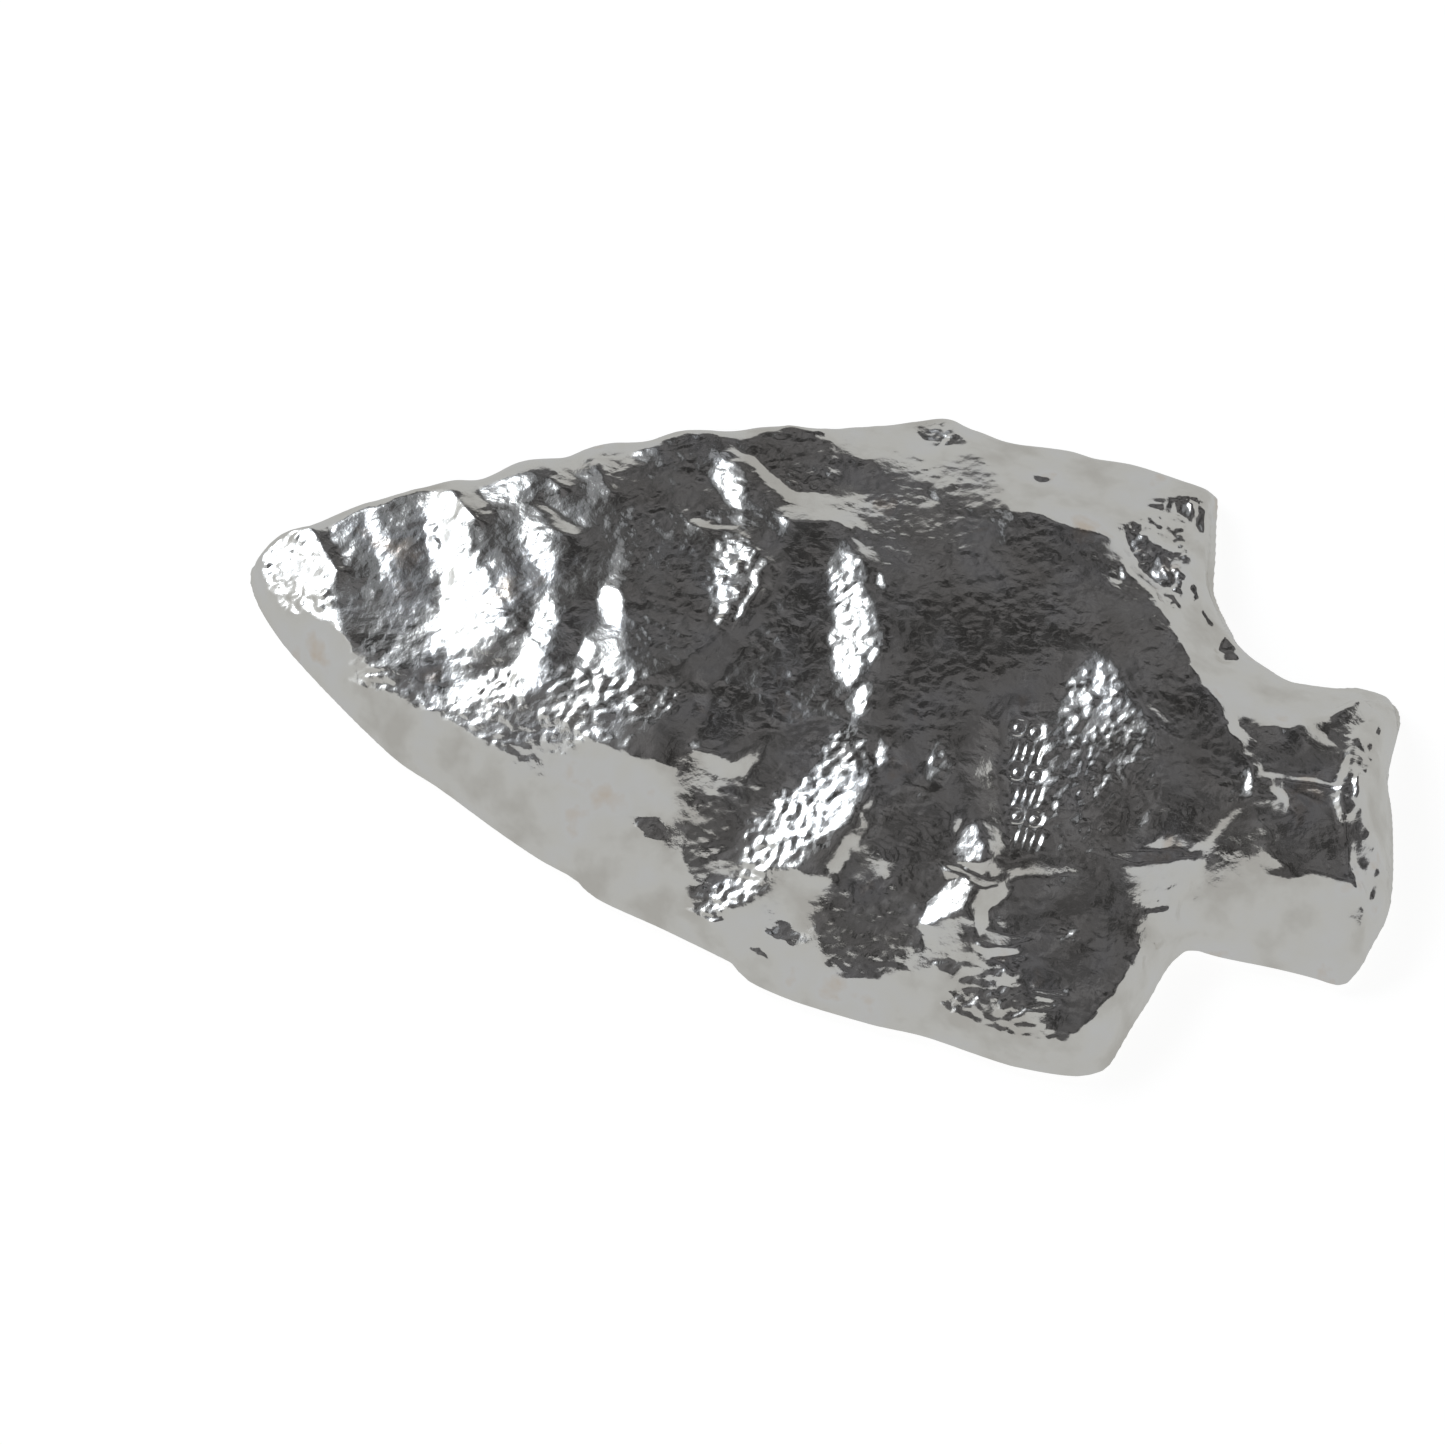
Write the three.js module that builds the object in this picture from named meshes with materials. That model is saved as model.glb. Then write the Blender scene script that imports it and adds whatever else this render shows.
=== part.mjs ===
// A cast silver arrowhead: a corner-notched flint point, copied in one solid pour.
//
// Millimetres, +Z up. The tip points to -X and the stem to +X. The flat back lies on z = 0 and
// the knapped face looks up. The origin is under the middle of the whole outline.
//
// The outline is drawn in three lengths on each side: the blade's edge from the tip to the barb,
// the notch from the barb to the neck, and the stem's side. Ribs join the two sides. The knapped
// face is the lowest of a set of flake scars and of the flank that rises from the outline, so
// wherever two scars meet they leave an arris between them, as on worked stone.

import * as THREE from "three";

// ---- Driving dimensions --------------------------------------------------------------------

const UPPER_BLADE_LENGTH = 36.5; // tip to the corner of the +Y barb
const LOWER_BLADE_LENGTH = 39.1; // tip to the corner of the -Y barb
const UPPER_BARB_WIDTH = 13.75; // axis to the corner of the +Y barb
const LOWER_BARB_WIDTH = 12.9; // axis to the corner of the -Y barb
const UPPER_NOTCH_LENGTH = 5.3; // corner of the +Y barb to the neck
const LOWER_NOTCH_LENGTH = 1.7; // corner of the -Y barb to the neck
const UPPER_NECK_WIDTH = 6.3; // axis to the +Y side of the neck
const LOWER_NECK_WIDTH = 6.7; // axis to the -Y side of the neck
const UPPER_STEM_LENGTH = 4.5; // neck to the end of the stem on the +Y side
const LOWER_STEM_LENGTH = 6.6; // neck to the end of the stem on the -Y side
const UPPER_STEM_WIDTH = 5.5; // axis to the +Y corner of the stem's end
const LOWER_STEM_WIDTH = 6.4; // axis to the -Y corner of the stem's end
const THICKNESS = 5.2; // flat back to the level that the flake scars are measured down from

const RIM_HEIGHT = 0.5; // height of the thin edge that runs round the outline
const BACK_INSET = 0.3; // how far the rim leans in where it meets the flat back
const ARRIS_ROUNDING = 0.13; // softness of the arrises, as left by the casting and polishing

// Steepness of the flank that rises from each length of the outline, in degrees.
const FLANK = { upperBlade: 58, lowerBlade: 46, upperNotch: 35, lowerNotch: 60, stem: 41, end: 75 };

const BLADE_RIBS = 78;
const NOTCH_RIBS = 16;
const STEM_RIBS = 15;
const COLUMNS = 44; // steps across each rib
const EDGE_CROWDING = 0.45; // how strongly the columns crowd towards the edges, 0 to 1

// ---- Outline -------------------------------------------------------------------------------

// Each drawn length starts where the one before it ends, and is fitted to its real corners.
const UPPER_EDGE = [
  [0, 0], [0.25, 0.7], [0.8, 1.4], [2.3, 2.9], [3.3, 3.7], [5.1, 4.8], [6.5, 5.8], [7.4, 6.1],
  [7.8, 6.05], [8.5, 7.05], [9.6, 7.7], [10.7, 7.9], [11.2, 8.55], [12.6, 9.4], [13.8, 9.6],
  [14.3, 10.15], [15.7, 10.75], [17, 11], [17.5, 11.4], [19.2, 11.9], [20.6, 12.2],
  [21.3, 12.65], [22.4, 12.95], [24, 13.65], [25.3, 14.05], [25.9, 13.8], [26.6, 13.95],
  [27.6, 13.75], [29.4, 14.1], [30.6, 14.25], [31.4, 14.05], [31.9, 14.25], [33.4, 14.3],
  [35.4, 14.05], [36.15, 13.98], [36.5, 13.75],
];
const LOWER_EDGE = [
  [0, 0], [0.15, -0.6], [0.9, -1.7], [1.9, -2.7], [2.9, -3.5], [4.9, -4.9], [6.9, -6.2],
  [8.3, -7], [9.9, -7.6], [12.9, -8.95], [14.9, -9.75], [16.4, -10.2], [17.3, -10.75],
  [20.4, -11.45], [22.9, -12.05], [23.6, -12.25], [24.1, -12.7], [25.9, -13.15],
  [28.4, -13.35], [29.9, -13.4], [31.7, -13.35], [34.2, -13.6], [35.6, -13.7],
  [38.3, -13.4], [39.1, -12.9],
];
const UPPER_NOTCH = [
  [36.5, 13.75], [36.6, 13.3], [36.8, 12.4], [37.1, 11.2], [37.4, 9.8], [37.6, 9.3],
  [38.4, 8.25], [39.3, 7.2], [39.8, 6.85], [40.7, 6.65], [41.2, 6.4], [41.8, 6.3],
];
const LOWER_NOTCH = [
  [39.1, -12.9], [39.3, -12.5], [39.5, -11.5], [39.7, -10.5], [40, -9.3], [40.15, -8.4],
  [40.4, -7.4], [40.8, -6.7],
];
const UPPER_STEM = [
  [41.8, 6.3], [42.5, 6.4], [43.2, 6.55], [44.2, 6.85], [45, 6.8], [45.5, 6.65], [45.9, 6.4],
  [46.2, 6], [46.3, 5.5],
];
const LOWER_STEM = [
  [40.8, -6.7], [41.2, -6.6], [41.9, -6.65], [44.4, -6.55], [45.9, -6.55], [47.1, -6.6],
  [47.4, -6.4],
];
const STEM_END = [
  [46.3, 5.5], [46.35, 4.4], [46.4, 3], [46.8, 2.2], [47.1, 1.4], [47.5, 0.1], [47.9, -1.4],
  [48.1, -2.6], [48.1, -3.3], [47.9, -4.4], [47.7, -5.6], [47.4, -6.4],
];

const tip = [0, 0];
const upperBarb = [UPPER_BLADE_LENGTH, UPPER_BARB_WIDTH];
const lowerBarb = [LOWER_BLADE_LENGTH, -LOWER_BARB_WIDTH];
const upperNeck = [upperBarb[0] + UPPER_NOTCH_LENGTH, UPPER_NECK_WIDTH];
const lowerNeck = [lowerBarb[0] + LOWER_NOTCH_LENGTH, -LOWER_NECK_WIDTH];
const upperEnd = [upperNeck[0] + UPPER_STEM_LENGTH, UPPER_STEM_WIDTH];
const lowerEnd = [lowerNeck[0] + LOWER_STEM_LENGTH, -LOWER_STEM_WIDTH];

// A smooth curve through a drawn length, turned and scaled so that its ends land on its corners.
function fitted(drawn, start, end) {
  const [firstX, firstY] = drawn[0];
  const drawnX = drawn.at(-1)[0] - firstX;
  const drawnY = drawn.at(-1)[1] - firstY;
  const fitX = end[0] - start[0];
  const fitY = end[1] - start[1];
  const points = drawn.map(([x, y]) => {
    const dx = x - firstX;
    const dy = y - firstY;
    const along = (dx * drawnX + dy * drawnY) / (drawnX ** 2 + drawnY ** 2);
    const beside = (dy * drawnX - dx * drawnY) / (drawnX ** 2 + drawnY ** 2);
    return new THREE.Vector3(
      start[0] + along * fitX - beside * fitY,
      start[1] + along * fitY + beside * fitX,
      0,
    );
  });
  return new THREE.CatmullRomCurve3(points, false, "centripetal");
}

// A side of the outline from the tip to the stem's end, one point to a rib, each with the
// tangent of the flank angle there.
function side(edge, notch, stem, barb, neck, end, edgeFlank, notchFlank) {
  const lengths = [
    [fitted(edge, tip, barb), BLADE_RIBS, edgeFlank],
    [fitted(notch, barb, neck), NOTCH_RIBS, notchFlank],
    [fitted(stem, neck, end), STEM_RIBS, FLANK.stem],
  ];
  return lengths.flatMap(([curve, ribs, flank], i) =>
    curve
      .getSpacedPoints(ribs)
      .slice(i === 0 ? 0 : 1)
      .map((p) => ({ x: p.x, y: p.y, rise: Math.tan(THREE.MathUtils.degToRad(flank)) })),
  );
}

const upper = side(
  UPPER_EDGE, UPPER_NOTCH, UPPER_STEM, upperBarb, upperNeck, upperEnd,
  FLANK.upperBlade, FLANK.upperNotch,
);
const lower = side(
  LOWER_EDGE, LOWER_NOTCH, LOWER_STEM, lowerBarb, lowerNeck, lowerEnd,
  FLANK.lowerBlade, FLANK.lowerNotch,
);
const stemEnd = fitted(STEM_END, upperEnd, lowerEnd)
  .getSpacedPoints(COLUMNS)
  .map((p) => ({ x: p.x, y: p.y, rise: Math.tan(THREE.MathUtils.degToRad(FLANK.end)) }));

// The closed outline: out along the upper side, down the stem's end, back along the lower side.
const outline = [...upper, ...stemEnd.slice(1, -1), ...lower.slice(1).reverse()];

// ---- The knapped face ----------------------------------------------------------------------

// Flake scars. `at` is a point on a scar's floor, in millimetres from the tip (or, on the stem,
// from the neck), from the axis, and down from THICKNESS. `heading` and `slope` are the downhill
// direction and how steep it is, `lean` is how much the floor rises to the right-hand side of
// someone facing downhill, all in degrees. `left`, `right` and `dish` are how fast the floor
// curves up to each side and along its length, in 1/mm.
const BLADE_SCARS = [
  // the broad faces that meet on the blade's middle ridge
  { at: [15, -5, 1.1], heading: -105, slope: 10 },
  { at: [14, 0.3, 1.35], heading: 110, slope: 12 },
  { at: [4, -2.2, 3.2], heading: -118, slope: 20, left: 0.05 },
  { at: [8, -4.5, 3.3], heading: -112, slope: 25, left: 0.07 },
  { at: [29, 3.3, 0.9], heading: 100, slope: 5 },
  { at: [36, -7.7, 1.7], heading: -80, slope: 25 },
  { at: [37, -1, 0.1], heading: 0, slope: 3 },
  // the small dome at the tip, and the groove that sets it off
  { at: [2.4, -0.9, 3.2], heading: 178, slope: 16, left: 0.12, right: 0.12, dish: 0.1 },
  { at: [3.9, 0.3, 3.15], heading: 123, slope: 10, left: 0.9, right: 0.9, dish: 0.05 },
  // the comb of scars struck from the upper edge, from the tip backwards
  { at: [5.2, 0.4, 2.95], heading: 120, slope: 9, lean: 8, left: 0.5, right: 0.15 },
  { at: [7.5, 0.4, 2.8], heading: 117, slope: 9, lean: 13, left: 0.6, right: 0.05, dish: 0.02 },
  { at: [10.2, 1.4, 2.6], heading: 116, slope: 9, lean: 10, left: 0.5, right: 0.09, dish: 0.02 },
  { at: [12.9, 2.8, 2.4], heading: 109, slope: 9, lean: 4, left: 0.4, right: 0.12, dish: 0.02 },
  { at: [16, 4.3, 2.3], heading: 103, slope: 6, lean: 7, left: 0.3, right: 0.12, dish: 0.04 },
  // the small low scar on the upper edge and the wide one beside it
  { at: [20.2, 8.4, 3.0], heading: 100, slope: 8, left: 0.3, right: 0.2, dish: 0.28 },
  { at: [25.5, 8.9, 2.0], heading: 98, slope: 12, left: 0.03, right: 0.05 },
  // the long hollow across the middle of the blade, its run-out, and the hollow behind that
  { at: [23.6, 1.3, 1.6], heading: -98, slope: 4, lean: -12, left: 0.07, right: 0.15, dish: 0.03 },
  { at: [23.6, -7.4, 2.6], heading: -114, slope: 18, lean: -11, left: 0.09, right: 0.34 },
  { at: [29.2, -9.2, 3], heading: -80, slope: 19, lean: -4, left: 0.18, right: 0.7 },
  // the upper right facet
  { at: [31, 8.7, 1.45], heading: 92, slope: 26, left: 0.14, right: 0.01 },
  // the rise to the neck
  { at: [37, -1.4, 0.55], heading: 182, slope: 17, left: 0.03, right: 0.02, dish: 0.04 },
];

const STEM_SCARS = [
  { at: [1.75, 1.3, 1.2], heading: 95, slope: 12, left: 0.05, right: 0.05 },
  { at: [3.2, -2.7, 2.05], heading: -90, slope: 22, left: 0.1, right: 0.25 },
];

const bladeStretch = UPPER_BLADE_LENGTH / UPPER_EDGE.at(-1)[0];
const upperStretch = UPPER_BARB_WIDTH / UPPER_EDGE.at(-1)[1];
const lowerStretch = -LOWER_BARB_WIDTH / LOWER_EDGE.at(-1)[1];

function placed(scar, originX, stretchX) {
  const [x, y, drop] = scar.at;
  return {
    lean: 0,
    left: 0,
    right: 0,
    dish: 0,
    ...scar,
    x: originX + x * stretchX,
    y: y * (y > 0 ? upperStretch : lowerStretch),
    z: THICKNESS - drop,
  };
}

const scars = [
  ...BLADE_SCARS.map((s) => placed(s, 0, bladeStretch)),
  ...STEM_SCARS.map((s) => placed(s, upperNeck[0], 1)),
];

function scarHeight(s, x, y) {
  const angle = THREE.MathUtils.degToRad(s.heading);
  const dx = x - s.x;
  const dy = y - s.y;
  const down = dx * Math.cos(angle) + dy * Math.sin(angle);
  const left = dy * Math.cos(angle) - dx * Math.sin(angle);
  const curve = left > 0 ? s.left : s.right;
  return (
    s.z -
    down * Math.tan(THREE.MathUtils.degToRad(s.slope)) -
    left * Math.tan(THREE.MathUtils.degToRad(s.lean)) +
    (curve * left ** 2 + s.dish * down ** 2) / 2
  );
}

// Height of the flank that rises from the nearest stretch of the outline.
function flankHeight(x, y) {
  let nearest = Infinity;
  let rise = 0;
  outline.forEach((a, i) => {
    const b = outline[(i + 1) % outline.length];
    const ex = b.x - a.x;
    const ey = b.y - a.y;
    const share = THREE.MathUtils.clamp(
      ((x - a.x) * ex + (y - a.y) * ey) / (ex ** 2 + ey ** 2), 0, 1,
    );
    const distance = Math.hypot(x - a.x - share * ex, y - a.y - share * ey);
    if (distance < nearest) {
      nearest = distance;
      rise = THREE.MathUtils.lerp(a.rise, b.rise, share);
    }
  });
  return RIM_HEIGHT + nearest * rise;
}

// The lowest of all the scars and the flank, with the arrises between them rounded over.
function faceHeight(x, y) {
  const heights = scars.map((s) => scarHeight(s, x, y));
  heights.push(flankHeight(x, y));
  const lowest = Math.min(...heights);
  const sum = heights.reduce((t, h) => t + Math.exp((lowest - h) / ARRIS_ROUNDING), 0);
  return Math.max(RIM_HEIGHT, lowest - ARRIS_ROUNDING * Math.log(sum));
}

// ---- Mesh ----------------------------------------------------------------------------------

const positions = [];
const faces = [];

function vertex(x, y, z) {
  positions.push(x, y, z);
  return positions.length / 3 - 1;
}

function quad(a, b, c, d) {
  faces.push(a, b, c, a, c, d);
}

// Columns crowd towards both edges, where the flanks are.
function acrossShare(column) {
  const t = column / COLUMNS;
  return t - (EDGE_CROWDING * Math.sin(2 * Math.PI * t)) / (2 * Math.PI);
}

// Rib r runs from the lower side to the upper side. The last rib is the stem's end itself.
const ribCount = upper.length;
const ribs = [];
for (let r = 1; r < ribCount; r++) {
  const rib = [];
  for (let c = 0; c <= COLUMNS; c++) {
    const share = acrossShare(c);
    const last = r === ribCount - 1;
    const p = last
      ? stemEnd[COLUMNS - c]
      : {
          x: THREE.MathUtils.lerp(lower[r].x, upper[r].x, share),
          y: THREE.MathUtils.lerp(lower[r].y, upper[r].y, share),
        };
    const onOutline = last || c === 0 || c === COLUMNS;
    rib.push(vertex(p.x, p.y, onOutline ? RIM_HEIGHT : faceHeight(p.x, p.y)));
  }
  ribs.push(rib);
}
const tipVertex = vertex(0, 0, RIM_HEIGHT);

for (let c = 0; c < COLUMNS; c++) {
  faces.push(tipVertex, ribs[0][c], ribs[0][c + 1]);
}
for (let r = 0; r + 1 < ribs.length; r++) {
  for (let c = 0; c < COLUMNS; c++) {
    quad(ribs[r][c], ribs[r + 1][c], ribs[r + 1][c + 1], ribs[r][c + 1]);
  }
}

// The rim leans in to the back's outline, which the flat back fills.
const loop = [
  tipVertex,
  ...ribs.map((rib) => rib[0]),
  ...ribs.at(-1).slice(1, -1),
  ...ribs.map((rib) => rib[COLUMNS]).reverse(),
];
const backLoop = loop.map((v, i) => {
  const before = loop[(i + loop.length - 1) % loop.length];
  const after = loop[(i + 1) % loop.length];
  const tx = positions[3 * after] - positions[3 * before];
  const ty = positions[3 * after + 1] - positions[3 * before + 1];
  const length = Math.hypot(tx, ty);
  return vertex(
    positions[3 * v] - (BACK_INSET * ty) / length,
    positions[3 * v + 1] + (BACK_INSET * tx) / length,
    0,
  );
});
loop.forEach((v, i) => {
  const next = (i + 1) % loop.length;
  quad(backLoop[i], backLoop[next], loop[next], v);
});
const backPoints = backLoop.map((v) => new THREE.Vector2(positions[3 * v], positions[3 * v + 1]));
for (const [a, b, c] of THREE.ShapeUtils.triangulateShape(backPoints, [])) {
  faces.push(backLoop[a], backLoop[c], backLoop[b]);
}

const geometry = new THREE.BufferGeometry();
geometry.setAttribute("position", new THREE.Float32BufferAttribute(positions, 3));
geometry.setIndex(faces);
geometry.computeBoundingBox();
const middle = geometry.boundingBox.getCenter(new THREE.Vector3());
geometry.translate(-middle.x, -middle.y, 0);
geometry.computeVertexNormals();

const silver = new THREE.MeshStandardMaterial({ color: 0xdad8d2, metalness: 1, roughness: 0.15 });
const arrowhead = new THREE.Mesh(geometry, silver);
arrowhead.name = "arrowhead";

const part = new THREE.Group();
part.add(arrowhead);

export default part;
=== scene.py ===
"""A cast silver arrowhead on a white table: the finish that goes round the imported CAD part.

The CAD solid carries the outline, the flat back, the crown, the flanks and the broad flake scars.
Here its face is raised and reworked into smaller facets, ledges and a rough skin, as real geometry
inside the solid's box, and gets its silver. The new face is 0.5 mm above the solid's on average and
up to 1.6 mm from it, which makes the visual model 18% larger in volume.
"""

import math

import bpy
import numpy as np
from mathutils import Matrix, Vector
from mathutils.bvhtree import BVHTree


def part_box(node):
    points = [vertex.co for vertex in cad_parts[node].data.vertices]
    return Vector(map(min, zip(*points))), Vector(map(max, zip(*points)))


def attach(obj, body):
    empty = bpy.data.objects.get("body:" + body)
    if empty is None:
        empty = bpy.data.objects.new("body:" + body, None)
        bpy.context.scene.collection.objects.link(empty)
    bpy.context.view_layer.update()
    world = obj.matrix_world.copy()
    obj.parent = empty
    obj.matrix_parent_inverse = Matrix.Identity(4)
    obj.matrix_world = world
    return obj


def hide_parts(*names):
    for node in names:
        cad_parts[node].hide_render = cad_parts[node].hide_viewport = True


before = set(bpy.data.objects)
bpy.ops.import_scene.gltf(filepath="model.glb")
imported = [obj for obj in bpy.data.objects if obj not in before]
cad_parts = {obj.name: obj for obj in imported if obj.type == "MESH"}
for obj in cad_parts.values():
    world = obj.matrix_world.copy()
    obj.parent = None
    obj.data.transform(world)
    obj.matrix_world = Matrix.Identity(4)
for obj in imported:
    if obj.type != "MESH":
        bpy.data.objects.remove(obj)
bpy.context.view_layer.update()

MM = 0.001
BODY = "root"
NODE = "arrowhead"
PALE = (0.47, 0.472, 0.46, 1)  # what the silver reflects of the table and the walls

# ---- Height field of the knapped face ----------------------------------------------------------

STEP = 0.08  # mm between samples of the height field
MARGIN = 0.5  # mm of empty samples round the outline
VOXEL = 0.1  # mm, the size of the fine mesh's faces
RIM = 0.5  # mm, the height of the rim round the outline
RAY_HEIGHT = 20  # mm, well above the solid


def axis_samples(low, high):
    return np.arange(low / MM - MARGIN, high / MM + MARGIN, STEP)


low_corner, high_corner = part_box(NODE)
xs = axis_samples(low_corner[0], high_corner[0])
ys = axis_samples(low_corner[1], high_corner[1])
X, Y = np.meshgrid(xs, ys, indexing="ij")


def cad_heights():
    """The height of the CAD solid above its back at each sample, in mm, or nan outside it."""
    tree = BVHTree.FromObject(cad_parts[NODE], bpy.context.evaluated_depsgraph_get())
    heights = np.full(X.shape, np.nan)
    down = Vector((0, 0, -1))
    for i, x in enumerate(xs):
        for j, y in enumerate(ys):
            hit = tree.ray_cast(Vector((x, y, RAY_HEIGHT)) * MM, down)[0]
            if hit is not None:
                heights[i, j] = hit.z / MM
    return heights


def spread(field):
    """Fills the samples outside the outline from their neighbours inside it."""
    field = field.copy()
    for _ in range(int(MARGIN / STEP)):
        padded = np.pad(field, 1, constant_values=np.nan)
        around = np.stack(
            [padded[2:, 1:-1], padded[:-2, 1:-1], padded[1:-1, 2:], padded[1:-1, :-2]]
        )
        known = np.isfinite(around)
        total = np.where(known, around, 0).sum(axis=0)
        count = known.sum(axis=0)
        fill = np.isnan(field) & (count > 0)
        field[fill] = total[fill] / count[fill]
    return np.where(np.isnan(field), RIM, field)


def blur(field, sigma):
    """Gaussian blur, with sigma in mm."""
    reach = int(math.ceil(3 * sigma / STEP))
    offsets = np.arange(-reach, reach + 1)
    weights = np.exp(-0.5 * (offsets * STEP / sigma) ** 2)
    weights /= weights.sum()
    for axis in (0, 1):
        pad = [(0, 0), (0, 0)]
        pad[axis] = (reach, reach)
        padded = np.pad(field, pad, mode="edge")
        size = field.shape[axis]
        field = sum(
            w * np.take(padded, np.arange(size) + reach + o, axis=axis)
            for o, w in zip(offsets, weights)
        )
    return field


def ramp(value, start, end):
    t = np.clip((value - start) / (end - start), 0, 1)
    return t * t * (3 - 2 * t)


raw = cad_heights()
inside = np.isfinite(raw)
solid = spread(raw)
# how far inside the outline a sample is, roughly: 0 at the rim, 1 from about 0.6 mm in
core = ramp(blur(inside.astype(float), 0.3), 0.5, 0.98)

MESH_BLUR = 0.2  # mm; hides the edges between the CAD mesh's triangles
face = solid + core * (blur(solid, MESH_BLUR) - solid)


def sample(field, x, y):
    """The field's value at points in mm, by bilinear interpolation."""
    u = np.clip((x - xs[0]) / STEP, 0, len(xs) - 1.001)
    v = np.clip((y - ys[0]) / STEP, 0, len(ys) - 1.001)
    i, j = u.astype(int), v.astype(int)
    u, v = u - i, v - j
    near = field[i, j] * (1 - v) + field[i, j + 1] * v
    far = field[i + 1, j] * (1 - v) + field[i + 1, j + 1] * v
    return near * (1 - u) + far * u


def bump(x, y, long, wide, height):
    """Raises a rounded bump, or a pit where height is below 0. Its extent is `long` along X."""
    global face
    face = face + core * height * np.exp(-(((X - x) / long) ** 2) - ((Y - y) / wide) ** 2)


def ridge(points, height, wide):
    """Raises a rounded ridge along a line of points."""
    global face
    nearest = np.full(X.shape, np.inf)
    for (ax, ay), (bx, by) in zip(points, points[1:]):
        ex, ey = bx - ax, by - ay
        share = np.clip(((X - ax) * ex + (Y - ay) * ey) / (ex * ex + ey * ey), 0, 1)
        nearest = np.minimum(nearest, np.hypot(X - ax - share * ex, Y - ay - share * ey))
    face = face + core * height * np.exp(-((nearest / wide) ** 2))


def grain(seed, long, wide, turn):
    """Smooth random relief of unit spread, with ripples `long` by `wide` mm turned by `turn`."""
    noise = np.random.default_rng(seed).standard_normal(X.shape)
    fx = np.fft.fftfreq(X.shape[0], STEP)[:, None]
    fy = np.fft.fftfreq(X.shape[1], STEP)[None, :]
    c, s = math.cos(math.radians(turn)), math.sin(math.radians(turn))
    along, across = fx * c + fy * s, fy * c - fx * s
    keep = np.exp(-2 * math.pi**2 * ((along * long) ** 2 + (across * wide) ** 2))
    relief = np.fft.ifft2(np.fft.fft2(noise) * keep).real
    return relief / relief.std()


# The knob at the stem's upper corner.
bump(21.5, 4.5, 0.55, 0.55, 0.3)

# Tilts of the small facets that the flake scars are worked into: the direction of the fall, and
# its steepness, in degrees. Each is chosen for what it reflects towards the main camera: LEFT,
# SOFT and FAINT the lamps, LEVEL, SHADE and RIM_SHADE the dark ceiling, and the others the pale
# walls and table.
LEFT = (-172, 17)
SOFT = (-172, 13.5)
FAINT = (-172, 11)
AWAY = (88, 25)
LEVEL = (100, 4)
SHADE = (-110, 14)
RIM_SHADE = (-120, 23)
NEAR = (-114, 37)
FAR = (92, 31)
END = (0, 70)

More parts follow.
